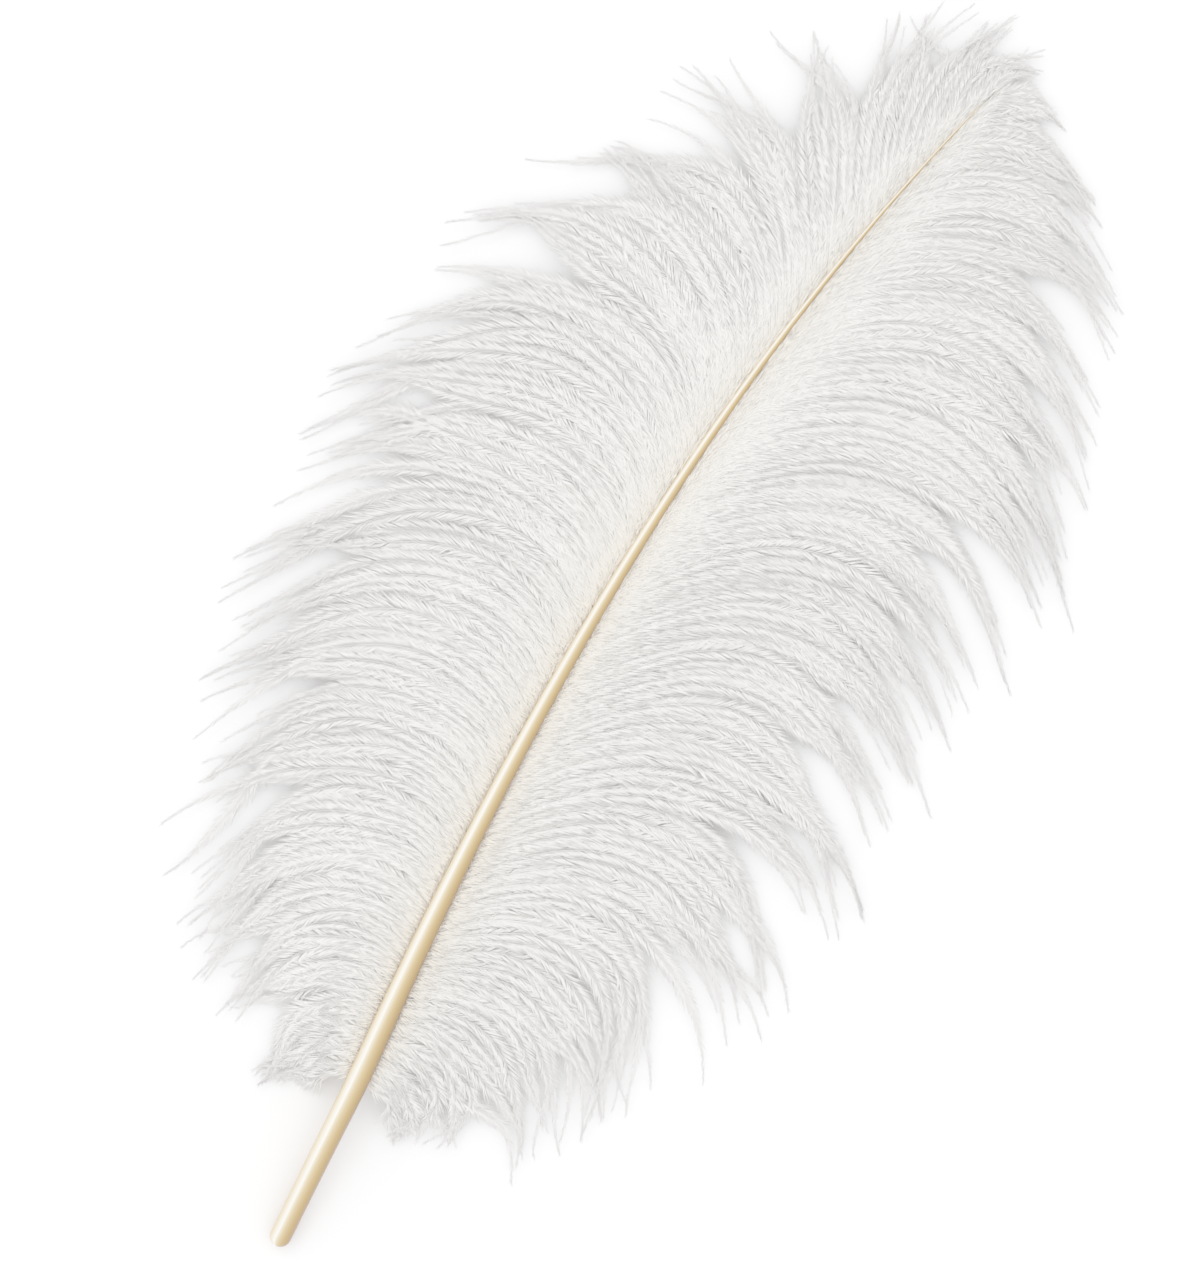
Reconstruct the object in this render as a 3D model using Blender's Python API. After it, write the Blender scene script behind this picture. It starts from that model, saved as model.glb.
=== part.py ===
"""An ostrich plume lying on its underside: one curved shaft and the two vanes of barbs beside it.

Metres, +Z up. The feather lies along +Y from the quill's end to the tip, and rests on z = 0.
"along" runs from 0 at the quill's end to 1 at the shaft's tip, "up_vane" from 0 at the lowest barb
to 1 at the shaft's tip, and "out" from 0 at a barb's root to 1 at the furthest barb tip.
"""

import math

import bmesh
import bpy
import numpy as np
from mathutils import Matrix

# Shaft, seen from above
BARE_QUILL = 0.057
VANE_STRETCH = 0.354
SHAFT_LENGTH = BARE_QUILL + VANE_STRETCH
HEADING_AT_QUILL = math.radians(-8.1)
HEADING_TURN = math.radians(21.2)
HEADING_POWER = 1.62
QUILL_BEND = math.radians(2.8)

# Shaft, its height and thickness
QUILL_END_RADIUS = 0.0033
QUILL_END_HEIGHT = 0.0028
RACHIS_RADIUS = 0.0035
TIP_RADIUS = 0.00025
TAPER_POWER = 1.15
SHAFT_ARCH = 0.018
TIP_LIFT = 0.004
GROOVE_DEPTH = 0.22
GROOVE_WIDTH = 0.55
SHAFT_SIDES = 18
SHAFT_RINGS = 76
END_RINGS = 7

# Vanes
GAP = 0.0003
ROOT_THICKNESS = 0.0044
EDGE_THICKNESS = 0.0024
TUFTS = 18
RINGS_PER_TUFT = 4
TUFT_DEPTH = 0.13
STEPS_OUT = 10
DROOP_END = 0.78
PATH_STEPS = 120

LEFT = -1
RIGHT = 1

# How the barbs of each side lie: up_vane, the angles in degrees from the shaft's direction at which a barb
# leaves the shaft and at which it ends, its length, and how late along the barb the bend comes.
BARBS = {
    LEFT: (
        (0.000, 98, 150, 0.026, 0.60),
        (0.050, 76, 158, 0.054, 0.60),
        (0.140, 56, 158, 0.088, 0.60),
        (0.270, 45, 151, 0.117, 0.60),
        (0.410, 42, 146, 0.129, 0.60),
        (0.550, 38, 143, 0.132, 0.70),
        (0.620, 36, 134, 0.122, 0.85),
        (0.690, 34, 118, 0.104, 1.05),
        (0.765, 34, 84, 0.083, 1.20),
        (0.810, 34, 48, 0.071, 1.20),
        (0.850, 32, 14, 0.062, 1.20),
        (0.890, 30, -14, 0.056, 1.10),
        (0.935, 25, -32, 0.049, 1.05),
        (0.970, 18, -44, 0.042, 1.00),
        (1.000, 8, -60, 0.032, 0.95),
    ),
    RIGHT: (
        (0.000, 104, 150, 0.018, 0.80),
        (0.050, 80, 156, 0.052, 0.80),
        (0.140, 49, 150, 0.106, 0.90),
        (0.205, 40, 148, 0.125, 0.92),
        (0.270, 34, 140, 0.131, 1.00),
        (0.410, 32, 130, 0.139, 1.10),
        (0.550, 32, 128, 0.142, 1.10),
        (0.690, 33, 126, 0.130, 1.10),
        (0.765, 33, 118, 0.113, 1.10),
        (0.845, 31, 110, 0.092, 1.10),
        (0.930, 28, 104, 0.064, 1.10),
        (1.000, 10, 92, 0.034, 1.00),
    ),
}


def clear_scene():
    for found in list(bpy.data.objects):
        bpy.data.objects.remove(found)


def plain_material(name, colour, roughness):
    material = bpy.data.materials.new(name)
    material.use_nodes = True
    shader = material.node_tree.nodes["Principled BSDF"]
    shader.inputs["Base Color"].default_value = (*colour, 1.0)
    shader.inputs["Roughness"].default_value = roughness
    shader.inputs["Metallic"].default_value = 0.0
    return material


def smoothstep(value):
    return value * value * (3.0 - 2.0 * value)


def along_of(up_vane):
    return (BARE_QUILL + up_vane * VANE_STRETCH) / SHAFT_LENGTH


def heading(along):
    """The shaft's direction in plan, from +Y towards +X. The bare quill bends a little the other way."""
    past_quill = np.clip((along * SHAFT_LENGTH / BARE_QUILL - 0.8) / 0.4, 0.0, 1.0)
    return HEADING_AT_QUILL + HEADING_TURN * along**HEADING_POWER + QUILL_BEND * (1.0 - smoothstep(past_quill))


def shaft_plan(along):
    """The point on the shaft's centre line seen from above, by adding up short steps in its heading."""
    steps = (np.arange(PATH_STEPS) + 0.5) / PATH_STEPS * along
    turned = heading(steps)
    step = SHAFT_LENGTH * along / PATH_STEPS
    return float(np.sin(turned).sum() * step), float(np.cos(turned).sum() * step)


def shaft_height(along):
    return QUILL_END_HEIGHT + SHAFT_ARCH * math.sin(math.pi * along) + TIP_LIFT * along


def shaft_radius(along):
    up_vane = (along * SHAFT_LENGTH - BARE_QUILL) / VANE_STRETCH
    if up_vane < 0.0:
        swell = smoothstep(along * SHAFT_LENGTH / BARE_QUILL)
        return QUILL_END_RADIUS + (RACHIS_RADIUS - QUILL_END_RADIUS) * swell
    return TIP_RADIUS + (RACHIS_RADIUS - TIP_RADIUS) * max(1.0 - up_vane, 0.0) ** TAPER_POWER


def shaft_stations():
    """Places along the shaft and how full its section is there: 1, but rounded off at the quill's end."""
    end = QUILL_END_RADIUS / SHAFT_LENGTH
    stations = []
    for ring in range(END_RINGS):
        angle = math.radians(6.0) + (math.pi / 2 - math.radians(6.0)) * ring / END_RINGS
        stations.append((end * (1.0 - math.cos(angle)), math.sin(angle)))
    for ring in range(SHAFT_RINGS + 1):
        stations.append((end + (1.0 - end) * ring / SHAFT_RINGS, 1.0))
    return stations


def press_groove(mesh, stations):
    """Presses the shallow groove that a rachis has along its underside, from the lowest barb to the tip."""
    for ring, (along, fullness) in enumerate(stations):
        radius = shaft_radius(along) * fullness
        centre = shaft_height(along)
        start = (along * SHAFT_LENGTH - BARE_QUILL) / (0.1 * VANE_STRETCH)
        depth = GROOVE_DEPTH * smoothstep(min(max(start, 0.0), 1.0))
        x_centre, y_centre = shaft_plan(along)
        for vertex in mesh.vertices[ring * SHAFT_SIDES : (ring + 1) * SHAFT_SIDES]:
            aside = math.hypot(vertex.co.x - x_centre, vertex.co.y - y_centre) / radius
            if vertex.co.z < centre and aside < GROOVE_WIDTH:
                vertex.co.z += depth * radius * (1.0 - smoothstep(aside / GROOVE_WIDTH))


def tube_through(stations):
    """A tapering tube with closed ends along the shaft's centre line."""
    curve = bpy.data.curves.new("shaft_line", "CURVE")
    curve.dimensions = "3D"
    curve.twist_mode = "Z_UP"
    curve.bevel_depth = 1.0
    curve.bevel_resolution = SHAFT_SIDES // 2 - 2
    curve.use_fill_caps = True
    spline = curve.splines.new("POLY")
    spline.points.add(len(stations) - 1)
    for point, (along, fullness) in zip(spline.points, stations):
        point.co = (*shaft_plan(along), shaft_height(along), 1.0)
        point.radius = shaft_radius(along) * fullness
    guide = bpy.data.objects.new("shaft_line", curve)
    bpy.context.scene.collection.objects.link(guide)
    evaluated = guide.evaluated_get(bpy.context.evaluated_depsgraph_get())
    mesh = bpy.data.meshes.new_from_object(evaluated)
    bpy.data.objects.remove(guide)
    return mesh


def weld(mesh, distance):
    shell = bmesh.new()
    shell.from_mesh(mesh)
    bmesh.ops.remove_doubles(shell, verts=shell.verts, dist=distance)
    bmesh.ops.recalc_face_normals(shell, faces=shell.faces)
    shell.to_mesh(mesh)
    shell.free()


def build_shaft(collection):
    """Quill and rachis in one growth: round at the quill, grooved underneath where it carries barbs."""
    stations = shaft_stations()
    mesh = tube_through(stations)
    press_groove(mesh, stations)
    weld(mesh, 0.000001)
    mesh.name = "shaft"
    mesh.shade_smooth()
    mesh.materials.clear()
    mesh.materials.append(plain_material("shaft_horn", (0.86, 0.74, 0.50), 0.35))
    shaft = bpy.data.objects.new("shaft", mesh)
    collection.objects.link(shaft)
    return shaft


def barb_habit(side, up_vane):
    """Leaving angle, ending angle, length and lateness of the bend for the barbs at this place."""
    rows = np.array(BARBS[side])
    leaving, ending, length, lateness = (np.interp(up_vane, rows[:, 0], rows[:, i]) for i in range(1, 5))
    return math.radians(leaving), math.radians(ending), length, lateness


def barb_plan(side, up_vane, out):
    """The point this far out along the barb, seen from above."""
    leaving, ending, length, lateness = barb_habit(side, up_vane)
    along = along_of(up_vane)
    x_root, y_root = shaft_plan(along)
    shaft_heading = heading(along)
    clear = shaft_radius(along) + GAP
    steps = (np.arange(PATH_STEPS) + 0.5) / PATH_STEPS * out
    turned = shaft_heading + side * (leaving + (ending - leaving) * smoothstep(steps**lateness))
    step = length * out / PATH_STEPS
    x_barb = x_root + side * clear * math.cos(shaft_heading) + np.sin(turned).sum() * step
    y_barb = y_root - side * clear * math.sin(shaft_heading) + np.cos(turned).sum() * step
    return float(x_barb), float(y_barb)


def tuft_reach(up_vane):
    """How far out the vane goes here: to the furthest tips in the middle of a tuft, less between tufts."""
    between = abs(2.0 * ((up_vane * TUFTS) % 1.0) - 1.0)
    return 1.0 - TUFT_DEPTH * between


def vane_point(side, up_vane, reach, upper):
    """A point on the vane's upper or lower face. It leaves the shaft's side and droops until it lies flat."""
    out = reach * tuft_reach(up_vane)
    x_place, y_place = barb_plan(side, up_vane, out)
    droop = 1.0 - smoothstep(min(out / DROOP_END, 1.0))
    root_thickness = ROOT_THICKNESS * (1.0 - 0.45 * up_vane)
    thickness = EDGE_THICKNESS + (root_thickness - EDGE_THICKNESS) * droop
    top = EDGE_THICKNESS + (shaft_height(along_of(up_vane)) + root_thickness / 2 - EDGE_THICKNESS) * droop
    height = top if upper else top - thickness
    return x_place, y_place, height


def build_vane(name, side, material, collection):
    """The closed shape that one row of barbs fills: a sheet, given its thickness, laid along the barbs."""
    sheet = bmesh.new()
    bmesh.ops.create_grid(sheet, x_segments=TUFTS * RINGS_PER_TUFT, y_segments=STEPS_OUT, size=0.5)
    extruded = bmesh.ops.extrude_face_region(sheet, geom=sheet.faces[:])
    lifted = {item for item in extruded["geom"] if isinstance(item, bmesh.types.BMVert)}
    for vertex in sheet.verts:
        up_vane = min(max(vertex.co.x + 0.5, 0.0), 1.0)
        reach = min(max(vertex.co.y + 0.5, 0.0), 1.0)
        vertex.co = vane_point(side, up_vane, reach, vertex in lifted)
    bmesh.ops.recalc_face_normals(sheet, faces=sheet.faces)
    mesh = bpy.data.meshes.new(name)
    sheet.to_mesh(mesh)
    sheet.free()
    mesh.materials.append(material)
    vane = bpy.data.objects.new(name, mesh)
    collection.objects.link(vane)
    return vane


def centre_over_origin(pieces):
    """Moves the meshes so that the middle of the feather's outline lies over the origin."""
    corners = np.array([vertex.co[:2] for piece in pieces for vertex in piece.data.vertices])
    middle = (corners.min(axis=0) + corners.max(axis=0)) / 2
    for piece in pieces:
        piece.data.transform(Matrix.Translation((-middle[0], -middle[1], 0.0)))


def build_feather():
    clear_scene()
    feather = bpy.data.collections.new("ostrich_feather")
    bpy.context.scene.collection.children.link(feather)
    down = plain_material("white_barbs", (0.90, 0.89, 0.87), 0.85)
    shaft = build_shaft(feather)
    left_vane = build_vane("left_vane", LEFT, down, feather)
    right_vane = build_vane("right_vane", RIGHT, down, feather)
    centre_over_origin([shaft, left_vane, right_vane])


build_feather()
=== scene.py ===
"""The ostrich plume as it looks: its horn shaft, and every barb with the fine barbules that make it fluffy.

Metres, +Z up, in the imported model's frame. The plume lies along +Y from the quill's end to the tip.
"along" runs from 0 at the quill's end to 1 at the shaft's tip, and "up_vane" from 0 at the lowest barb to 1
at the shaft's tip. "out" runs from 0 at a barb's root to 1 at its length in BARBS, which some barbs pass,
and "share" from 0 at a barb's root to 1 at its own tip. A "run" is where something sets in and where it is
whole.
"""

import math

import bpy
import numpy as np
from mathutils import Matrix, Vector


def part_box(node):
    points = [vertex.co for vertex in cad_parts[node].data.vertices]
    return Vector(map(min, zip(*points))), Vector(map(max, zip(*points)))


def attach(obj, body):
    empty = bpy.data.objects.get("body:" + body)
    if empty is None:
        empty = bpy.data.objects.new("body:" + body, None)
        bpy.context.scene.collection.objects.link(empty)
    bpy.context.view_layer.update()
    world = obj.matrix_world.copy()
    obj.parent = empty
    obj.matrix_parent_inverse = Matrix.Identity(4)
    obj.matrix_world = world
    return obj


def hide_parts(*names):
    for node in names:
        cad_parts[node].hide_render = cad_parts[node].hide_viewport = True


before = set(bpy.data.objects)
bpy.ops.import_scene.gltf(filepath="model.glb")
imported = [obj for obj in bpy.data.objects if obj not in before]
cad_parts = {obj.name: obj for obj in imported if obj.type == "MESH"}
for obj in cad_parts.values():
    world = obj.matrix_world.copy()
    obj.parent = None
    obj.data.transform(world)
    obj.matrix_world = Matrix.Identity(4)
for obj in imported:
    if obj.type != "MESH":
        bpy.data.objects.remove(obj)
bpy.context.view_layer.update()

# Shaft, seen from above. The quill's bend is gone within its run, in lengths of the bare quill.
BARE_QUILL = 0.057
VANE_STRETCH = 0.354
SHAFT_LENGTH = BARE_QUILL + VANE_STRETCH
HEADING_AT_QUILL = math.radians(-8.1)
HEADING_TURN = math.radians(21.2)
HEADING_POWER = 1.62
QUILL_BEND = math.radians(2.8)
QUILL_BEND_RUN = (0.8, 1.2)

# Shaft, its height and thickness
QUILL_END_RADIUS = 0.0033
QUILL_END_HEIGHT = 0.0028
RACHIS_RADIUS = 0.0035
TIP_RADIUS = 0.00025
TAPER_POWER = 1.15
SHAFT_ARCH = 0.018
TIP_LIFT = 0.004

# Groove under the rachis, its depth and half its width in radii, and the stretch over which it deepens
GROOVE_DEPTH = 0.22
GROOVE_WIDTH = 0.55
GROOVE_STRETCH = 0.1 * VANE_STRETCH

# Shaft, how finely it is cut. The first rings round off the quill's end, starting at a small turn.
SHAFT_SIDES = 40
SHAFT_RINGS = 320
END_RINGS = 14
FIRST_RING_TURN = 0.02

# How the barbs of each side lie: up_vane, the angles in degrees from the shaft's direction at which a barb
# leaves the shaft and at which it ends, its length, and how late along the barb the bend comes.
LEFT = -1
RIGHT = 1
BARBS = {
    LEFT: (
        (0.000, 98, 150, 0.021, 0.60),
        (0.050, 76, 158, 0.048, 0.60),
        (0.140, 56, 158, 0.085, 0.60),
        (0.270, 45, 151, 0.117, 0.60),
        (0.410, 42, 146, 0.126, 0.60),
        (0.550, 38, 143, 0.128, 0.70),
        (0.620, 36, 134, 0.122, 0.85),
        (0.690, 34, 118, 0.104, 1.05),
        (0.765, 34, 86, 0.088, 1.20),
        (0.810, 34, 52, 0.078, 1.20),
        (0.850, 33, 20, 0.071, 1.20),
        (0.890, 32, -6, 0.066, 1.10),
        (0.935, 28, -24, 0.053, 1.05),
        (0.970, 20, -40, 0.033, 1.00),
        (1.000, 8, -58, 0.017, 0.95),
    ),
    RIGHT: (
        (0.000, 102, 152, 0.022, 0.80),
        (0.050, 80, 158, 0.060, 0.80),
        (0.140, 49, 150, 0.110, 0.90),
        (0.205, 40, 146, 0.131, 0.92),
        (0.270, 34, 139, 0.138, 1.00),
        (0.410, 32, 130, 0.139, 1.10),
        (0.550, 32, 128, 0.142, 1.10),
        (0.690, 33, 126, 0.130, 1.10),
        (0.765, 33, 118, 0.113, 1.10),
        (0.845, 31, 110, 0.092, 1.10),
        (0.930, 28, 104, 0.060, 1.10),
        (1.000, 10, 92, 0.021, 1.00),
    ),
}

# How finely the barbs' lines are worked out, and how far out
TABLE_STEPS = 400
TABLE_REACH = 1.20
TABLE_ROWS = 400

# Barbs, their heights: where they leave the shaft, the crown they rise to, and their droop to the edge.
# The root's inset is in the shaft's radii.
ROOT_INSET = 0.60
ROOT_DROP = 0.0003
CROWN = 0.0012
CROWN_RUN = (0.0, 0.25)
EDGE_HEIGHT = 0.0016
DROOP_RUN = (0.0, 0.78)
LOWEST_BARB = 0.0009

# Barbs, and how they are drawn together into strands, and strands into locks
BARBS_A_SIDE = 204
BARB_SAMPLES = 48
ROOT_WANDER = 0.3
LOCKS = {LEFT: 18, RIGHT: 20}
LOCK_WANDER = 0.28
STRANDS_A_LOCK = (3, 5)
STRAND_WANDER = 0.2
STRAND_PULL = 0.90
STRAND_PULL_RUN = (0.46, 0.88)
LOCK_PULL = 0.64
LOCK_PULL_RUN = (0.46, 0.92)

# How far locks, strands and single barbs reach, from the least to the most
LOCK_REACH = (0.99, 1.09)
STRAND_REACH = (0.84, 1.03)
BARB_REACH = (0.86, 1.0)

# How far they lean, sway and splay up or down the vane. A lock's lean is in its own widths.
LOCK_LEAN = 0.16
LOCK_LEAN_RUN = (0.15, 1.0)
STRAND_LEAN = 0.011
STRAND_LEAN_RUN = (0.55, 1.0)
BARB_SWAY = 0.0022
BARB_SWAY_RUN = (0.0, 0.3)
SWAYS_A_BARB = (0.8, 1.8)
TIP_SPLAY = 0.0045
TIP_SPLAY_RUN = (0.70, 1.0)

# Stray barbs, which their lock holds only a little
STRAY_SHARE = 0.09
STRAY_HOLD = 0.25
STRAY_REACH = (0.85, 1.03)
STRAY_LEAN = 0.030
STRAY_LEAN_LIMIT = 0.05
STRAY_LEAN_RUN = (0.45, 1.0)

# How high they lie over one another. Every third barb is a ridge, unevenly higher than the others.
LOCK_LEVEL = 0.0007
STRAND_LEVEL = 0.0002
BARB_LEVEL = 0.0001
LEVEL_RUN = (0.0, 0.45)
RIDGE_LIFT = 0.00042
RIDGE_RANGE = (0.45, 1.25)
BARBS_A_RIDGE = 3

# Stem of a barb, which thins by its taper
STEM_RINGS = 20
STEM_RADIUS = 0.00014
STEM_TAPER = 0.72
STEM_LIFT = 0.00008

# Barbules, their number and size. Above 1, the crowding sets them closer at the barb's root.
BARBULE_SPACING = 0.00036
BARBULE_CROWDING = 1.10
BARBULES_A_TUFT = 4
BARBULE_LENGTH = 0.0094
BARBULE_WIDTH = 0.00034
BARBULE_THICKNESS = 0.00009
BARBULE_WIDEST = 0.42
BARBULE_ARCH = 0.6
LENGTH_RANGE = (0.72, 1.18)
SLIMNESS_RANGE = (0.75, 1.2)

# How they change: short close to the shaft and near its tip, and short and slim towards the barb's tip.
# The wisp at a barb's tip is this long, or this share of a short barb.
LENGTH_AT_SHAFT = 0.68
OFF_SHAFT_RUN = (0.0, 0.34)
SHORTER_IN_WISP = 0.79
SLIMNESS_AT_TIP = 0.58
SHORTER_UP_VANE = 0.30
UP_VANE_RUN = (0.6, 1.0)
WISP_LENGTH = 0.055
WISP_SHARE = 0.55

# How they stand: their angle from the barb in degrees, wider off the shaft and at the barb's root, the
# share of their length up to the elbow, the share of the angle left past it, and how far across they root.
BARBULE_ANGLE = 25.0
WIDER_OFF_SHAFT = 6.0
WIDER_AT_ROOT = 18.0
AT_ROOT_RUN = (0.0, 0.06)
NARROWER_IN_WISP = 0.30
ANGLE_SPREAD = 0.09
BARBULE_ELBOW = 0.45
ANGLE_PAST_ELBOW = 0.68
BARBULE_CROSSING = 0.0005
LOWEST_BARBULE = 0.0003

# How steeply they rise to the elbow and fall past it, the middle and the spread, and what a tuft changes
BARBULE_RISE = (0.032, 0.011)
BARBULE_FALL = (-0.09, 0.02)
TUFT_ANGLE = 0.10
TUFT_RISE = 0.010

# The plume's map, where it starts and how far it is stretched over "out", and each barbule's own run on it
PLUME_MAP = "OFBake"
STEM_MAP = (0.01, 0.96)
BARBULE_MAP = (0.012, 0.95)
BARBULE_MAP_RUN = 0.02

# Tones in the plume's map: the middle one, its limits, and how far barb, tuft, barbule and lock go from it
STEM_TONE = 0.72
STEM_TONE_LIMITS = (0.05, 0.95)
STEM_TONE_OF_BARB = 0.05
STEM_TONE_ACROSS = 0.01
BARBULE_TONE = 0.5
BARBULE_TONE_LIMITS = (0.04, 0.94)
TONE_OF_BARB = 0.06
TONE_OF_TUFT = 0.08
TONE_OF_BARBULE = 0.10
TONE_ACROSS = 0.012
TONE_OF_LOCK = 0.6

# Pieces of each side, and where up the vane each one ends
SECTIONS = ("lower", "middle", "upper")
SECTION_ENDS = (0.37, 0.66, 1.0)
SEED = 41

# The down's colour from the shaft out to the barb tips, and its tone from the greyest barbule on
DOWN_COLOURS = (
    (0.00, (0.945, 0.838, 0.665)),
    (0.05, (0.945, 0.896, 0.803)),
    (0.12, (0.945, 0.920, 0.878)),
    (0.24, (0.945, 0.923, 0.892)),
    (0.45, (0.945, 0.924, 0.899)),
    (0.75, (0.943, 0.923, 0.902)),
    (0.90, (0.890, 0.873, 0.858)),
    (1.00, (0.780, 0.768, 0.760)),
)
DOWN_TONES = ((0.0, (0.982, 0.980, 0.977)), (0.35, (1.0, 1.0, 1.0)), (1.0, (1.0, 1.0, 1.0)))

# The horn's colour once round from the middle of its underside, up its left flank first, and its streaks.
# Over the horn's own ivory top and golden flanks, the pale stop near 0.44 is a painted highlight on the
# upper left and the dark stops past 0.55 are painted shade down the right flank.
SHAFT_MAP = "shaft_round"
HORN_COLOURS_AND_PAINTED_LIGHT = (
    (0.00, (0.34, 0.19, 0.05)),
    (0.28, (0.62, 0.42, 0.16)),
    (0.35, (0.77, 0.62, 0.37)),
    (0.40, (0.89, 0.81, 0.66)),
    (0.44, (0.96, 0.94, 0.88)),
    (0.47, (0.77, 0.64, 0.41)),
    (0.51, (0.60, 0.42, 0.17)),
    (0.55, (0.49, 0.30, 0.09)),
    (0.59, (0.39, 0.22, 0.04)),
    (0.65, (0.29, 0.14, 0.015)),
    (0.75, (0.18, 0.07, 0.006)),
    (1.00, (0.34, 0.19, 0.05)),
)
HORN_STREAKS = ((0.30, (0.92, 0.90, 0.86)), (0.70, (1.0, 1.0, 1.0)))

# Floor and light
FLOOR_SIZE = 8.0
ROOM_STRENGTH = 1.01
LIGHT_BOUNCES = 48
SOFTBOX_PLACE = (-1.0, 0.45, 1.35)
SOFTBOX_SIZE = 0.45
SOFTBOX_POWER = 1.6

# Where the camera looks, how much it takes in, its lens and sensor in millimetres, and the view's gamma
VIEW_TURN = math.radians(31.45)
VIEW_CENTRE = (0.0007, -0.0089, 0.012)
VIEW_TALL = 0.3837
LENS = 85.0
SENSOR = 36.0
VIEW_GAMMA = 2.1


def smoothstep(value):
    value = np.clip(value, 0.0, 1.0)
    return value * value * (3.0 - 2.0 * value)


def over_run(value, run):
    """Rises evenly from 0 at the run's start to 1 at its end."""
    start, end = run
    return smoothstep((value - start) / (end - start))


def along_of(up_vane):
    return (BARE_QUILL + up_vane * VANE_STRETCH) / SHAFT_LENGTH


def heading(along):
    """The shaft's direction in plan, from +Y towards +X. The bare quill bends a little the other way."""
    past_quill = over_run(along * SHAFT_LENGTH / BARE_QUILL, QUILL_BEND_RUN)
    return HEADING_AT_QUILL + HEADING_TURN * along**HEADING_POWER + QUILL_BEND * (1.0 - past_quill)


def shaft_plan(along):
    """Points on the shaft's centre line seen from above, by adding up short steps in its heading."""
    stations = np.linspace(0.0, 1.0, TABLE_STEPS + 1)
    turned = heading((stations[1:] + stations[:-1]) / 2)
    step = SHAFT_LENGTH / TABLE_STEPS
    x_line = np.concatenate([[0.0], np.cumsum(np.sin(turned)) * step])
    y_line = np.concatenate([[0.0], np.cumsum(np.cos(turned)) * step])
    return np.interp(along, stations, x_line), np.interp(along, stations, y_line)


def shaft_height(along):
    return QUILL_END_HEIGHT + SHAFT_ARCH * np.sin(np.pi * along) + TIP_LIFT * along


def shaft_radius(along):
    """The quill swells a little up to the lowest barb, and from there the rachis tapers to the tip."""
    up_vane = (along * SHAFT_LENGTH - BARE_QUILL) / VANE_STRETCH
    swell = smoothstep(along * SHAFT_LENGTH / BARE_QUILL)
    quill = QUILL_END_RADIUS + (RACHIS_RADIUS - QUILL_END_RADIUS) * swell
    taper = np.clip(1.0 - up_vane, 0.0, 1.0) ** TAPER_POWER
    return np.where(up_vane < 0.0, quill, TIP_RADIUS + (RACHIS_RADIUS - TIP_RADIUS) * taper)


def deselect_all():
    if bpy.context.object and bpy.context.object.mode != "OBJECT":
        bpy.ops.object.mode_set(mode="OBJECT")
    bpy.ops.object.select_all(action="DESELECT")


def select_only(piece, pick):
    """In edit mode, selects the vertices that pick accepts by their place."""
    bpy.ops.mesh.select_mode(type="VERT")
    bpy.ops.mesh.select_all(action="DESELECT")
    bpy.ops.object.mode_set(mode="OBJECT")
    for vertex in piece.data.vertices:
        vertex.select = pick(vertex.co)
    bpy.ops.object.mode_set(mode="EDIT")


def cut_across(rod, rings):
    """Cuts an upright rod across into rings, and leaves it in edit mode."""
    mesh = rod.data
    bpy.ops.object.mode_set(mode="EDIT")
    bpy.ops.mesh.select_mode(type="EDGE")
    bpy.ops.mesh.select_all(action="DESELECT")
    bpy.ops.object.mode_set(mode="OBJECT")
    for edge in mesh.edges:
        low, high = (mesh.vertices[i].co for i in edge.vertices)
        edge.select = abs(high.z - low.z) > (high - low).xy.length
    bpy.ops.object.mode_set(mode="EDIT")
    bpy.ops.mesh.subdivide_edgering(number_cuts=rings, interpolation="LINEAR")


def model_shaft():
    """Quill and rachis in one growth: round at the quill, grooved underneath where it carries barbs."""
    deselect_all()
    bpy.ops.mesh.primitive_cylinder_add(vertices=SHAFT_SIDES, radius=1.0, depth=2.0, end_fill_type="TRIFAN")
    shaft = bpy.context.object
    shaft.name = "horn_shaft"
    cut_across(shaft, SHAFT_RINGS)
    bpy.ops.object.mode_set(mode="OBJECT")
    map_shaft(shaft.data)
    shift = place_shaft(shaft.data)
    shaft.data.shade_smooth()
    return shaft, shift


def share_round(corner):
    """How far round the upright rod a corner lies, from the middle of what becomes the underside.

    A corner on the rod's axis counts as half way round.
    """
    if abs(corner.x) + abs(corner.y) < 0.1:
        return 0.5
    return math.atan2(corner.x, corner.y) / (2 * math.pi) + 0.5


def map_shaft(mesh):
    """The shaft's own map: once round it from the middle of its underside, and up it from end to end."""
    for layer in list(mesh.uv_layers):
        mesh.uv_layers.remove(layer)
    layer = mesh.uv_layers.new(name=SHAFT_MAP)
    for face in mesh.polygons:
        corners = [mesh.vertices[i].co for i in face.vertices]
        rounds = [share_round(corner) for corner in corners]
        crosses_start = max(rounds) - min(rounds) > 0.5
        for loop, corner, around in zip(face.loop_indices, corners, rounds):
            lap = 1.0 if crosses_start and around < 0.5 else 0.0
            layer.data[loop].uv = (around + lap, (corner.z + 1.0) / 2.0)


def spread_rings(level):
    """Where on the shaft each level of the upright rod goes, and how full it is at the rounded end."""
    end_share = END_RINGS / (SHAFT_RINGS + 1)
    end = QUILL_END_RADIUS / SHAFT_LENGTH
    turn = np.clip(level / end_share, 0.0, 1.0) * math.pi / 2
    past_end = np.clip((level - end_share) / (1.0 - end_share), 0.0, 1.0)
    along = end * (1.0 - np.cos(turn)) + (1.0 - end) * past_end
    return along, np.where(level < end_share, np.sin(np.maximum(turn, FIRST_RING_TURN)), 1.0)


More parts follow.
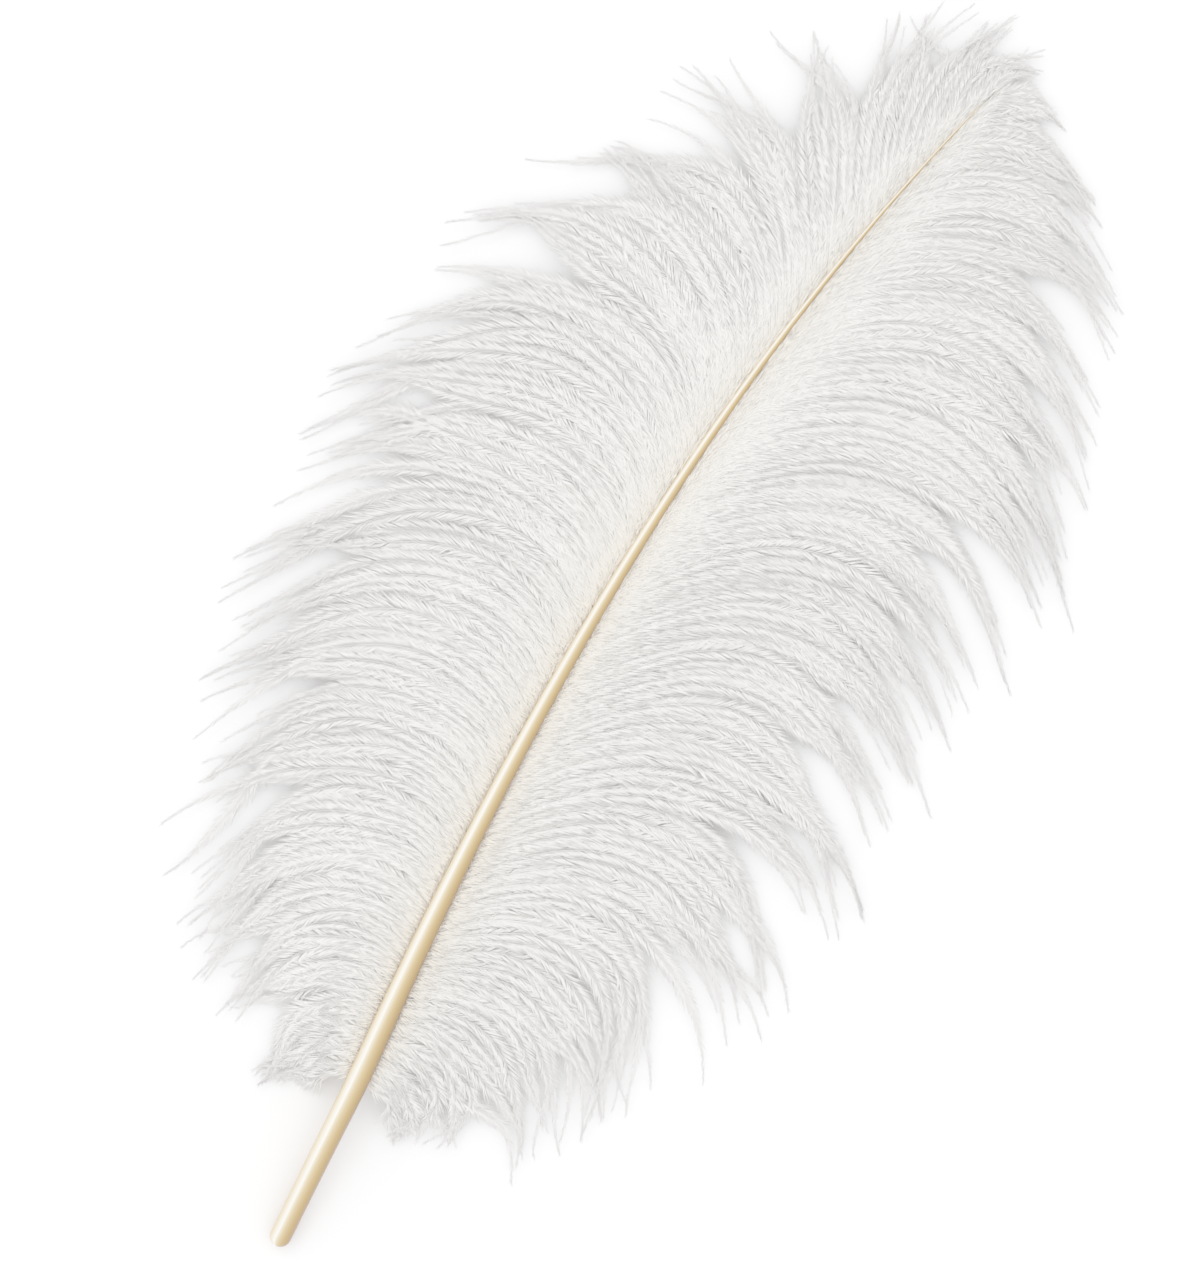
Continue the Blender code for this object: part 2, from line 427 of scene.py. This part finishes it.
def place_shaft(mesh):
    """Lays the upright rod along the shaft's line, gives it its thickness and presses the groove.

    Gives back how far it then moved the shaft across the ground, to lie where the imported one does.
    """
    spots = np.zeros(len(mesh.vertices) * 3)
    mesh.vertices.foreach_get("co", spots)
    spots = spots.reshape(-1, 3)
    along, fullness = spread_rings(np.clip((spots[:, 2] + 1.0) / 2.0, 0.0, 1.0))
    radius = shaft_radius(along) * fullness
    across, upward = spots[:, 0], spots[:, 1]
    grooved = smoothstep((along * SHAFT_LENGTH - BARE_QUILL) / GROOVE_STRETCH)
    pressed = GROOVE_DEPTH * grooved * (1.0 - smoothstep(np.abs(across) / GROOVE_WIDTH)) * (upward < 0.0)
    x_line, y_line = shaft_plan(along)
    turned = heading(along)
    placed = np.stack(
        [
            x_line + radius * across * np.cos(turned),
            y_line - radius * across * np.sin(turned),
            shaft_height(along) + radius * (upward + pressed),
        ],
        axis=1,
    )
    low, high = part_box("shaft")
    middle = (placed.min(axis=0) + placed.max(axis=0)) / 2
    shift = ((low.x + high.x) / 2 - middle[0], (low.y + high.y) / 2 - middle[1])
    placed[:, :2] += shift
    mesh.vertices.foreach_set("co", placed.ravel())
    mesh.update()
    return shift


class Vane:
    """Where the barbs of one side lie, seen from above, read from a table worked out once."""

    def __init__(self, side):
        rows = np.array(BARBS[side])
        up_vane = np.linspace(0.0, 1.0, TABLE_ROWS + 1)
        leaving, ending, length, lateness = (np.interp(up_vane, rows[:, 0], rows[:, i]) for i in range(1, 5))
        leaving, ending = np.radians(leaving), np.radians(ending)
        along = along_of(up_vane)
        x_root, y_root = shaft_plan(along)
        clear = shaft_radius(along) * ROOT_INSET
        steps = (np.arange(TABLE_STEPS) + 0.5) / TABLE_STEPS * TABLE_REACH
        bend = smoothstep(steps[None, :] ** lateness[:, None])
        turned = heading(along)[:, None] + side * (leaving[:, None] + (ending - leaving)[:, None] * bend)
        step = (length * TABLE_REACH / TABLE_STEPS)[:, None]
        start = np.zeros((TABLE_ROWS + 1, 1))
        x_barb = np.concatenate([start, np.cumsum(np.sin(turned) * step, axis=1)], axis=1)
        y_barb = np.concatenate([start, np.cumsum(np.cos(turned) * step, axis=1)], axis=1)
        self.side = side
        self.x = x_barb + (x_root + side * clear * np.cos(heading(along)))[:, None]
        self.y = y_barb + (y_root - side * clear * np.sin(heading(along)))[:, None]

    def plan(self, up_vane, out):
        """The points this far up the vane and this far out, seen from above."""
        row = np.clip(up_vane, 0.0, 1.0) * TABLE_ROWS
        column = np.clip(out / TABLE_REACH, 0.0, 1.0) * TABLE_STEPS
        low_row = np.minimum(row.astype(int), TABLE_ROWS - 1)
        low_column = np.minimum(column.astype(int), TABLE_STEPS - 1)
        up, over = row - low_row, column - low_column
        points = []
        for table in (self.x, self.y):
            below = table[low_row, low_column] * (1 - over) + table[low_row, low_column + 1] * over
            above = table[low_row + 1, low_column] * (1 - over) + table[low_row + 1, low_column + 1] * over
            points.append(below * (1 - up) + above * up)
        return points


def split_unevenly(start, end, count, wander, rng):
    """Edges that split a stretch into count parts of uneven widths."""
    inner = np.arange(1, count) + rng.uniform(-wander, wander, count - 1)
    return start + (end - start) * np.concatenate([[0.0], inner, [count]]) / count


def middles(edges):
    return (edges[1:] + edges[:-1]) / 2


def part_into_locks(side, rng):
    """Where up the vane one side's locks and their strands begin and end, and each strand's lock."""
    fewest, most = STRANDS_A_LOCK
    lock_edges = split_unevenly(0.0, 1.0, LOCKS[side], LOCK_WANDER, rng)
    strand_edges = [0.0]
    lock_of_strand = []
    for lock in range(LOCKS[side]):
        count = rng.integers(fewest, most + 1)
        edges = split_unevenly(lock_edges[lock], lock_edges[lock + 1], count, STRAND_WANDER, rng)
        strand_edges.extend(edges[1:])
        lock_of_strand.extend([lock] * count)
    return lock_edges, np.array(strand_edges), np.array(lock_of_strand)


def barb_habits(side, rng):
    """How each barb of one side grows: its root, lock and reach, how it leans and sways, and its level."""
    lock_edges, strand_edges, lock_of_strand = part_into_locks(side, rng)
    strands = len(lock_of_strand)
    lock_lean = rng.normal(0.0, LOCK_LEAN, LOCKS[side]) * (lock_edges[1:] - lock_edges[:-1])
    lock_level = rng.uniform(-1.0, 1.0, LOCKS[side]) * LOCK_LEVEL
    lock_reach = rng.uniform(*LOCK_REACH, LOCKS[side])
    strand_lean = rng.normal(0.0, STRAND_LEAN, strands)
    strand_level = rng.normal(0.0, STRAND_LEVEL, strands)
    strand_reach = rng.uniform(*STRAND_REACH, strands)

    wander = rng.uniform(-ROOT_WANDER, ROOT_WANDER, BARBS_A_SIDE)
    root = (np.arange(BARBS_A_SIDE) + 0.5 + wander) / BARBS_A_SIDE
    strand = np.clip(np.searchsorted(strand_edges, root) - 1, 0, strands - 1)
    lock = lock_of_strand[strand]
    reach = lock_reach[lock] * strand_reach[strand] * rng.uniform(*BARB_REACH, BARBS_A_SIDE)
    stray = rng.uniform(0.0, 1.0, BARBS_A_SIDE) < STRAY_SHARE
    reach = np.where(stray, rng.uniform(*STRAY_REACH, BARBS_A_SIDE), reach)
    stray_lean = rng.normal(0.0, STRAY_LEAN, BARBS_A_SIDE)
    stray_lean = np.clip(stray_lean, -STRAY_LEAN_LIMIT, STRAY_LEAN_LIMIT)
    splay = rng.normal(0.0, TIP_SPLAY, BARBS_A_SIDE)
    level = lock_level[lock] + strand_level[strand] + rng.normal(0.0, BARB_LEVEL, BARBS_A_SIDE)
    ridge_height = RIDGE_LIFT * rng.uniform(*RIDGE_RANGE, BARBS_A_SIDE)
    level = level + ridge_height * (np.arange(BARBS_A_SIDE) % BARBS_A_RIDGE == 0)
    return {
        "root": root,
        "lock": lock,
        "reach": reach,
        "held": np.where(stray, STRAY_HOLD, 1.0),
        "to_strand": middles(strand_edges)[strand] - root,
        "to_lock": middles(lock_edges)[lock] - middles(strand_edges)[strand],
        "lock_lean": lock_lean[lock],
        "strand_lean": strand_lean[strand],
        "stray_lean": np.where(stray, stray_lean, 0.0),
        "splay": splay,
        "level": level,
        "sway_start": rng.uniform(0.0, 2 * np.pi, BARBS_A_SIDE),
        "sways": rng.uniform(*SWAYS_A_BARB, BARBS_A_SIDE),
    }


def lay_barbs(vane, rng):
    """Centre lines of one side's barbs, side by side at the shaft, then gathered into strands and locks."""
    habits = barb_habits(vane.side, rng)
    each = {name: values[:, None] for name, values in habits.items()}
    share = np.linspace(0.0, 1.0, BARB_SAMPLES)[None, :]
    out = share * each["reach"]
    sway = np.sin(each["sway_start"] + 2 * np.pi * each["sways"] * share)
    up_vane = each["root"] + sway * over_run(share, BARB_SWAY_RUN) * BARB_SWAY
    up_vane = up_vane + each["held"] * each["to_strand"] * STRAND_PULL * over_run(out, STRAND_PULL_RUN)
    up_vane = up_vane + each["held"] * each["to_lock"] * LOCK_PULL * over_run(out, LOCK_PULL_RUN)
    up_vane = up_vane + each["lock_lean"] * over_run(out, LOCK_LEAN_RUN)
    up_vane = up_vane + each["strand_lean"] * over_run(out, STRAND_LEAN_RUN)
    up_vane = up_vane + each["stray_lean"] * over_run(out, STRAY_LEAN_RUN)
    up_vane = up_vane + each["splay"] * over_run(share, TIP_SPLAY_RUN)
    x_line, y_line = vane.plan(up_vane, out)
    height_at_shaft = shaft_height(along_of(np.clip(up_vane, 0, 1))) - ROOT_DROP
    height = EDGE_HEIGHT + (height_at_shaft - EDGE_HEIGHT) * (1.0 - over_run(out, DROOP_RUN))
    height = height + each["level"] * over_run(out, LEVEL_RUN) + CROWN * over_run(out, CROWN_RUN)
    tone = rng.normal(0.0, 1.0, BARBS_A_SIDE)
    tone = tone + TONE_OF_LOCK * rng.normal(0.0, 1.0, LOCKS[vane.side])[habits["lock"]]
    return {
        "root": habits["root"],
        "reach": habits["reach"],
        "tone": tone,
        "points": np.stack([x_line, y_line, np.maximum(height, LOWEST_BARB)], axis=2),
    }


def read_along(table, share):
    """Reads rows of points at a share of their length, one share for each row given."""
    last = table.shape[1] - 1
    place = np.clip(share, 0.0, 1.0) * last
    low = np.minimum(place.astype(int), last - 1)
    over = (place - low)[:, None]
    rows = np.arange(table.shape[0])
    return table[rows, low] * (1 - over) + table[rows, low + 1] * over


def unit(vectors):
    return vectors / np.maximum(np.linalg.norm(vectors, axis=-1, keepdims=True), 1e-12)


def pattern_of(piece):
    """Takes a modelled shape's vertices and faces, to copy it, and removes the object."""
    mesh = piece.data
    spots = np.array([vertex.co[:] for vertex in mesh.vertices])
    faces = [tuple(face.vertices) for face in mesh.polygons]
    bpy.data.objects.remove(piece)
    bpy.data.meshes.remove(mesh)
    return spots, faces


def model_barbule():
    """One barbule, from 0 to 1 along X: a cone of three sides drawn out into a blade, pointed at both ends.

    Both points lie below its two wide corners, so the blade arches along its length.
    """
    deselect_all()
    bpy.ops.mesh.primitive_cone_add(
        vertices=3, radius1=1.0, radius2=0.0, depth=1.0, end_fill_type="NGON", location=(0, 0, 0.5)
    )
    barbule = bpy.context.object
    bpy.ops.object.transform_apply(location=True, rotation=False, scale=False)
    bpy.ops.object.mode_set(mode="EDIT")
    select_only(barbule, lambda spot: spot.y > 0.5)
    bpy.ops.transform.translate(value=(0, -1.0 - BARBULE_ARCH, 0))
    select_only(barbule, lambda spot: spot.z > 0.5)
    bpy.ops.transform.translate(value=(0, -BARBULE_ARCH, 0))
    select_only(barbule, lambda spot: abs(spot.x) > 0.5)
    bpy.ops.transform.translate(value=(0, 0.5, BARBULE_WIDEST))
    bpy.ops.object.mode_set(mode="OBJECT")
    spots, faces = pattern_of(barbule)
    return spots[:, [2, 0, 1]], faces


def model_stem():
    """One barb's stem, from 0 to 1 along X: a thin three-sided rod in short lengths."""
    deselect_all()
    bpy.ops.mesh.primitive_cylinder_add(
        vertices=3, radius=1.0, depth=1.0, end_fill_type="NGON", location=(0, 0, 0.5)
    )
    stem = bpy.context.object
    bpy.ops.object.transform_apply(location=True, rotation=False, scale=False)
    cut_across(stem, STEM_RINGS)
    bpy.ops.mesh.select_all(action="SELECT")
    bpy.ops.mesh.quads_convert_to_tris()
    bpy.ops.object.mode_set(mode="OBJECT")
    spots, faces = pattern_of(stem)
    return spots[:, [2, 0, 1]] * (1.0, -1.0, -1.0), faces


def stand_off(tangent):
    """Two directions square to a barb: level to its right, and upward."""
    upward = np.zeros_like(tangent)
    upward[..., 2] = 1.0
    level = unit(np.cross(tangent, upward))
    return level, unit(np.cross(level, tangent))


def copy_stems(barbs, pattern, chosen):
    """A stem along each of the chosen barbs, thinning to its tip."""
    spots, faces = pattern
    points = barbs["points"][chosen]
    tangent = unit(np.gradient(points, axis=1))
    level, upward = stand_off(tangent)
    count = len(points)
    share = np.broadcast_to(spots[:, 0], (count, len(spots)))
    flat = [np.repeat(rows, len(spots), axis=0) for rows in (points, level, upward)]
    centre, sideways, lift = (read_along(rows, share.ravel()).reshape(count, -1, 3) for rows in flat)
    radius = STEM_RADIUS * (1.0 - STEM_TAPER * share)[..., None]
    placed = centre + radius * (spots[None, :, 1, None] * sideways + spots[None, :, 2, None] * lift)
    placed[..., 2] += STEM_LIFT
    map_start, map_stretch = STEM_MAP
    drawn = share * barbs["reach"][chosen][:, None] * map_stretch + map_start
    tone = np.clip(STEM_TONE + STEM_TONE_OF_BARB * barbs["tone"][chosen], *STEM_TONE_LIMITS)
    shade = tone[:, None] + STEM_TONE_ACROSS * spots[None, :, 1]
    return placed, faces, np.stack([drawn, shade], axis=2)


def root_barbules(spans, chosen, rng):
    """Each barbule's barb, its share of the way along it, its side of it, and how its tuft differs."""
    barb, share, hand, tuft = [], [], [], []
    for index in chosen:
        count = int(spans[index] / BARBULE_SPACING)
        for side in (LEFT, RIGHT):
            barb.append(np.full(count, index))
            share.append(((np.arange(count) + rng.uniform(0.0, 1.0, count)) / count) ** BARBULE_CROWDING)
            hand.append(np.full(count, side))
            tufts = rng.normal(0.0, 1.0, count // BARBULES_A_TUFT + 1)
            tuft.append(np.repeat(tufts, BARBULES_A_TUFT)[:count])
    return [np.concatenate(rows) for rows in (barb, share, hand, tuft)]


def barbule_habit(to_tip, out, up_vane, rng):
    """How long the barbules are and the angle at which they leave the barb, by where on it they grow."""
    count = len(out)
    off_shaft = over_run(out, OFF_SHAFT_RUN)
    in_wisp = 1.0 - smoothstep(to_tip)
    length = BARBULE_LENGTH * (LENGTH_AT_SHAFT + (1.0 - LENGTH_AT_SHAFT) * off_shaft)
    length = length * (1.0 - SHORTER_IN_WISP * in_wisp)
    length = length * (1.0 - SHORTER_UP_VANE * over_run(up_vane, UP_VANE_RUN))
    length = length * rng.uniform(*LENGTH_RANGE, count)
    at_root = 1.0 - over_run(out, AT_ROOT_RUN)
    angle = np.radians(BARBULE_ANGLE + WIDER_OFF_SHAFT * off_shaft + WIDER_AT_ROOT * at_root)
    angle = angle * (1.0 - NARROWER_IN_WISP * in_wisp)
    angle = angle * rng.normal(1.0, ANGLE_SPREAD, count)
    return length, angle


def turned_off(angle, tangent, sideways):
    """Directions at these angles from the barb, each to its barbule's side."""
    return np.cos(angle)[:, None] * tangent + np.sin(angle)[:, None] * sideways


def lay_blades(spots, root, elbow, tip, slimness):
    """The barbule's pattern laid along each curve from root to tip, which bends towards the elbow."""
    reach = spots[:, 0][None, :, None]
    line = (1 - reach) ** 2 * root[:, None] + 2 * reach * (1 - reach) * elbow[:, None]
    line = line + reach**2 * tip[:, None]
    across, above = stand_off(unit(tip - root))
    width = (BARBULE_WIDTH / 2 * slimness)[:, None]
    thick = (BARBULE_THICKNESS / 2 * slimness)[:, None]
    placed = line + width * spots[None, :, 1, None] * across[:, None]
    placed = placed + thick * spots[None, :, 2, None] * above[:, None]
    placed[..., 2] = np.maximum(placed[..., 2], LOWEST_BARBULE)
    return placed


def copy_barbules(barbs, pattern, chosen, rng):
    """Barbules down both sides of the chosen barbs, each bent forward and falling past its elbow."""
    spots, faces = pattern
    points = barbs["points"]
    spans = np.linalg.norm(np.diff(points, axis=1), axis=2).sum(axis=1)
    barb, share, hand, tuft = root_barbules(spans, chosen, rng)
    count = len(barb)
    tangents = unit(np.gradient(points, axis=1))
    root = read_along(points[barb], share)
    tangent = unit(read_along(tangents[barb], share))
    level, upward = stand_off(tangent)
    sideways = level * hand[:, None]
    out = share * barbs["reach"][barb]
    to_tip = (1.0 - share) * spans[barb] / np.minimum(WISP_LENGTH, WISP_SHARE * spans[barb])
    length, angle = barbule_habit(to_tip, out, barbs["root"][barb], rng)
    length = length[:, None]
    angle = angle * (1.0 + TUFT_ANGLE * tuft)
    rise = (rng.normal(*BARBULE_RISE, count) + TUFT_RISE * tuft)[:, None]
    fall = rng.normal(*BARBULE_FALL, count)[:, None]
    root = root - sideways * rng.uniform(0.0, BARBULE_CROSSING, count)[:, None]
    leaving = turned_off(angle, tangent, sideways)
    ending = turned_off(ANGLE_PAST_ELBOW * angle, tangent, sideways)
    elbow = root + length * (BARBULE_ELBOW * leaving + rise * upward)
    tip = elbow + length * ((1.0 - BARBULE_ELBOW) * ending + fall * upward)
    filled = SLIMNESS_AT_TIP + (1.0 - SLIMNESS_AT_TIP) * smoothstep(to_tip)
    slimness = rng.uniform(*SLIMNESS_RANGE, count)[:, None] * filled[:, None]
    placed = lay_blades(spots, root, elbow, tip, slimness)
    tone = BARBULE_TONE + TONE_OF_BARB * barbs["tone"][barb] + TONE_OF_TUFT * tuft
    tone = np.clip(tone + rng.normal(0.0, TONE_OF_BARBULE, count), *BARBULE_TONE_LIMITS)
    shade = tone[:, None] + TONE_ACROSS * spots[None, :, 1]
    map_start, map_stretch = BARBULE_MAP
    drawn = out[:, None] * map_stretch + map_start + BARBULE_MAP_RUN * spots[None, :, 0]
    return placed, faces, np.stack([np.clip(drawn, 0.0, 1.0), shade], axis=2)


def join_copies(name, batches):
    """One mesh from batches of placed copies, with its map of how far out and what tone each one is."""
    corners, triangles, marks = [], [], []
    first = 0
    for placed, faces, mark in batches:
        copies, size = placed.shape[:2]
        offsets = first + np.arange(copies)[:, None] * size
        for face in faces:
            for turn in range(1, len(face) - 1):
                triangles.append(offsets + np.array([[face[0], face[turn], face[turn + 1]]]))
        corners.append(placed.reshape(-1, 3))
        marks.append(mark.reshape(-1, 2))
        first += copies * size
    corners, marks = np.concatenate(corners), np.concatenate(marks)
    triangles = np.concatenate(triangles).astype(np.int32)
    mesh = bpy.data.meshes.new(name)
    mesh.vertices.add(len(corners))
    mesh.vertices.foreach_set("co", corners.astype(np.float32).ravel())
    mesh.loops.add(triangles.size)
    mesh.loops.foreach_set("vertex_index", triangles.ravel())
    mesh.polygons.add(len(triangles))
    mesh.polygons.foreach_set("loop_start", np.arange(len(triangles), dtype=np.int32) * 3)
    mesh.update(calc_edges=True)
    mesh.uv_layers.new(name=PLUME_MAP)
    mesh.uv_layers[PLUME_MAP].data.foreach_set("uv", marks[triangles.ravel()].astype(np.float32).ravel())
    piece = bpy.data.objects.new(name, mesh)
    bpy.context.scene.collection.objects.link(piece)
    return piece


def build_plume(shift, material):
    """All the barbs of both sides, in three sections a side."""
    barbule = model_barbule()
    stem = model_stem()
    names = {LEFT: "left", RIGHT: "right"}
    for side in (LEFT, RIGHT):
        rng = np.random.default_rng(SEED + side)
        barbs = lay_barbs(Vane(side), rng)
        barbs["points"][..., 0] += shift[0]
        barbs["points"][..., 1] += shift[1]
        for number, section in enumerate(SECTIONS):
            chosen = np.nonzero(np.searchsorted(SECTION_ENDS, barbs["root"]) == number)[0]
            batches = [copy_stems(barbs, stem, chosen), copy_barbules(barbs, barbule, chosen, rng)]
            piece = join_copies(f"{names[side]}_barbs_{section}", batches)
            piece.data.materials.append(material)
            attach(piece, "root")
            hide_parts(f"{names[side]}_vane")


def build_shaft(material):
    shaft, shift = model_shaft()
    shaft.data.materials.append(material)
    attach(shaft, "root")
    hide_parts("shaft")
    return shift


def new_material(name):
    material = bpy.data.materials.new(name)
    material.use_nodes = True
    return material, material.node_tree, material.node_tree.nodes["Principled BSDF"]


def read_map(tree, name):
    """A piece's own map: its place on it as a whole, and that place's two numbers apart."""
    drawn = tree.nodes.new("ShaderNodeUVMap")
    drawn.uv_map = name
    split = tree.nodes.new("ShaderNodeSeparateXYZ")
    tree.links.new(drawn.outputs["UV"], split.inputs["Vector"])
    return drawn.outputs["UV"], split.outputs["X"], split.outputs["Y"]


def colour_by(tree, value, stops):
    """A colour that follows a value from stop to stop."""
    ramp = tree.nodes.new("ShaderNodeValToRGB")
    ramp.color_ramp.elements[0].position = stops[0][0]
    ramp.color_ramp.elements[0].color = (*stops[0][1], 1.0)
    ramp.color_ramp.elements[1].position = stops[-1][0]
    ramp.color_ramp.elements[1].color = (*stops[-1][1], 1.0)
    for position, colour in stops[1:-1]:
        ramp.color_ramp.elements.new(position).color = (*colour, 1.0)
    tree.links.new(value, ramp.inputs["Fac"])
    return ramp.outputs["Color"]


def colour_with(tree, shader, first, second):
    """Gives the shader two colours multiplied together."""
    mixed = tree.nodes.new("ShaderNodeMix")
    mixed.data_type = "RGBA"
    mixed.blend_type = "MULTIPLY"
    mixed.inputs["Factor"].default_value = 1.0
    tree.links.new(first, mixed.inputs["A"])
    tree.links.new(second, mixed.inputs["B"])
    tree.links.new(mixed.outputs["Result"], shader.inputs["Base Color"])


def fine_grain():
    """A node group for the fine unevenness of horn and down: how rough each spot is, and how high."""
    group = bpy.data.node_groups.new("fine_grain", "ShaderNodeTree")
    group.interface.new_socket("Place", in_out="INPUT", socket_type="NodeSocketVector")
    for name in ("Detail", "Smoothest", "Roughest"):
        group.interface.new_socket(name, in_out="INPUT", socket_type="NodeSocketFloat")
    group.interface.new_socket("Roughness", in_out="OUTPUT", socket_type="NodeSocketFloat")
    group.interface.new_socket("Height", in_out="OUTPUT", socket_type="NodeSocketFloat")
    nodes, links = group.nodes, group.links
    given = nodes.new("NodeGroupInput")
    result = nodes.new("NodeGroupOutput")
    noise = nodes.new("ShaderNodeTexNoise")
    noise.inputs["Scale"].default_value = 1.0
    spread = nodes.new("ShaderNodeMapRange")
    spread.inputs["From Min"].default_value = 0.3
    spread.inputs["From Max"].default_value = 0.7
    links.new(given.outputs["Place"], noise.inputs["Vector"])
    links.new(given.outputs["Detail"], noise.inputs["Detail"])
    links.new(noise.outputs["Fac"], spread.inputs["Value"])
    links.new(given.outputs["Smoothest"], spread.inputs["To Min"])
    links.new(given.outputs["Roughest"], spread.inputs["To Max"])
    links.new(spread.outputs["Result"], result.inputs["Roughness"])
    links.new(noise.outputs["Fac"], result.inputs["Height"])
    return group


def grain_surface(tree, shader, place, stretch, detail, roughness, bump_strength, bump_depth):
    """Roughness and bump for a material, from the fine_grain group stretched along the piece's own map.

    The roughness is given as its least and its most. Gives back the grain's height.
    """
    nodes, links = tree.nodes, tree.links
    mapping = nodes.new("ShaderNodeMapping")
    mapping.inputs["Scale"].default_value = stretch
    links.new(place, mapping.inputs["Vector"])
    grain = nodes.new("ShaderNodeGroup")
    grain.node_tree = bpy.data.node_groups.get("fine_grain") or fine_grain()
    grain.inputs["Detail"].default_value = detail
    grain.inputs["Smoothest"].default_value, grain.inputs["Roughest"].default_value = roughness
    links.new(mapping.outputs["Vector"], grain.inputs["Place"])
    links.new(grain.outputs["Roughness"], shader.inputs["Roughness"])
    bump = nodes.new("ShaderNodeBump")
    bump.inputs["Strength"].default_value = bump_strength
    bump.inputs["Distance"].default_value = bump_depth
    links.new(grain.outputs["Height"], bump.inputs["Height"])
    links.new(bump.outputs["Normal"], shader.inputs["Normal"])
    return grain.outputs["Height"]


def white_barbs():
    """Matt white down, cream close to the shaft, and greyer at the barb tips and on some barbules."""
    material, tree, shader = new_material("white_barbs")
    place, how_far_out, how_light = read_map(tree, PLUME_MAP)
    warmth = colour_by(tree, how_far_out, DOWN_COLOURS)
    tone = colour_by(tree, how_light, DOWN_TONES)
    colour_with(tree, shader, warmth, tone)
    shader.inputs["Specular IOR Level"].default_value = 0.2
    grain_surface(
        tree,
        shader,
        place,
        stretch=(300.0, 40.0, 1.0),
        detail=2.0,
        roughness=(0.7, 0.9),
        bump_strength=0.2,
        bump_depth=0.00004,
    )
    return material


def shaft_horn():
    """Ivory horn, golden brown down its flanks and streaked, with a satin gloss; painted highlight on the
    upper left, painted shade down the right flank.
    """
    material, tree, shader = new_material("shaft_horn")
    place, how_far_round, _ = read_map(tree, SHAFT_MAP)
    # The horn's colour round the shaft, carrying a painted highlight on the upper left and painted shade
    # down the right flank
    horn_colour_and_painted_light = colour_by(tree, how_far_round, HORN_COLOURS_AND_PAINTED_LIGHT)
    grain_height = grain_surface(
        tree,
        shader,
        place,
        stretch=(60.0, 5.0, 1.0),
        detail=5.0,
        roughness=(0.22, 0.42),
        bump_strength=0.3,
        bump_depth=0.00015,
    )
    streaks = colour_by(tree, grain_height, HORN_STREAKS)
    colour_with(tree, shader, horn_colour_and_painted_light, streaks)
    shader.inputs["Coat Weight"].default_value = 0.3
    shader.inputs["Coat Roughness"].default_value = 0.18
    shader.inputs["Specular IOR Level"].default_value = 0.35
    return material


def pale_floor():
    material, _, shader = new_material("pale_floor")
    shader.inputs["Base Color"].default_value = (1.0, 1.0, 1.0, 1.0)
    shader.inputs["Roughness"].default_value = 0.9
    shader.inputs["Specular IOR Level"].default_value = 0.1
    return material


def lay_floor():
    deselect_all()
    bpy.ops.mesh.primitive_plane_add(size=FLOOR_SIZE, location=(0, 0, 0))
    floor = bpy.context.object
    floor.name = "floor"
    floor.data.materials.append(pale_floor())


def light_room():
    """A plain white room, whose light goes from fibre to fibre many times before it leaves the down."""
    world = bpy.data.worlds.new("soft_white_room")
    world.use_nodes = True
    background = world.node_tree.nodes["Background"]
    background.inputs["Color"].default_value = (1.0, 1.0, 1.0, 1.0)
    background.inputs["Strength"].default_value = ROOM_STRENGTH
    scene = bpy.context.scene
    scene.world = world
    scene.cycles.diffuse_bounces = LIGHT_BOUNCES
    scene.cycles.max_bounces = LIGHT_BOUNCES


def hang_softbox():
    """A weak round softbox to the left, turned to face the plume, for the gloss on the shaft."""
    light = bpy.data.lights.new("key", "AREA")
    light.shape = "DISK"
    light.size = SOFTBOX_SIZE
    light.energy = SOFTBOX_POWER
    lamp = bpy.data.objects.new("key", light)
    bpy.context.scene.collection.objects.link(lamp)
    lamp.location = SOFTBOX_PLACE
    lamp.rotation_mode = "QUATERNION"
    lamp.rotation_quaternion = lamp.location.to_track_quat("Z", "Y")


def set_camera():
    """Straight above the plume, turned so that the quill points down and to the left."""
    camera = bpy.data.cameras.new("camera")
    camera.lens = LENS
    camera.sensor_width = SENSOR
    distance = VIEW_TALL * LENS / SENSOR
    holder = bpy.data.objects.new("camera", camera)
    bpy.context.scene.collection.objects.link(holder)
    holder.location = (VIEW_CENTRE[0], VIEW_CENTRE[1], VIEW_CENTRE[2] + distance)
    holder.rotation_euler = (0.0, 0.0, VIEW_TURN)
    scene = bpy.context.scene
    scene.camera = holder
    scene.view_settings.view_transform = "Standard"
    scene.view_settings.gamma = VIEW_GAMMA


def build():
    shift = build_shaft(shaft_horn())
    build_plume(shift, white_barbs())
    lay_floor()
    light_room()
    hang_softbox()
    set_camera()


build()
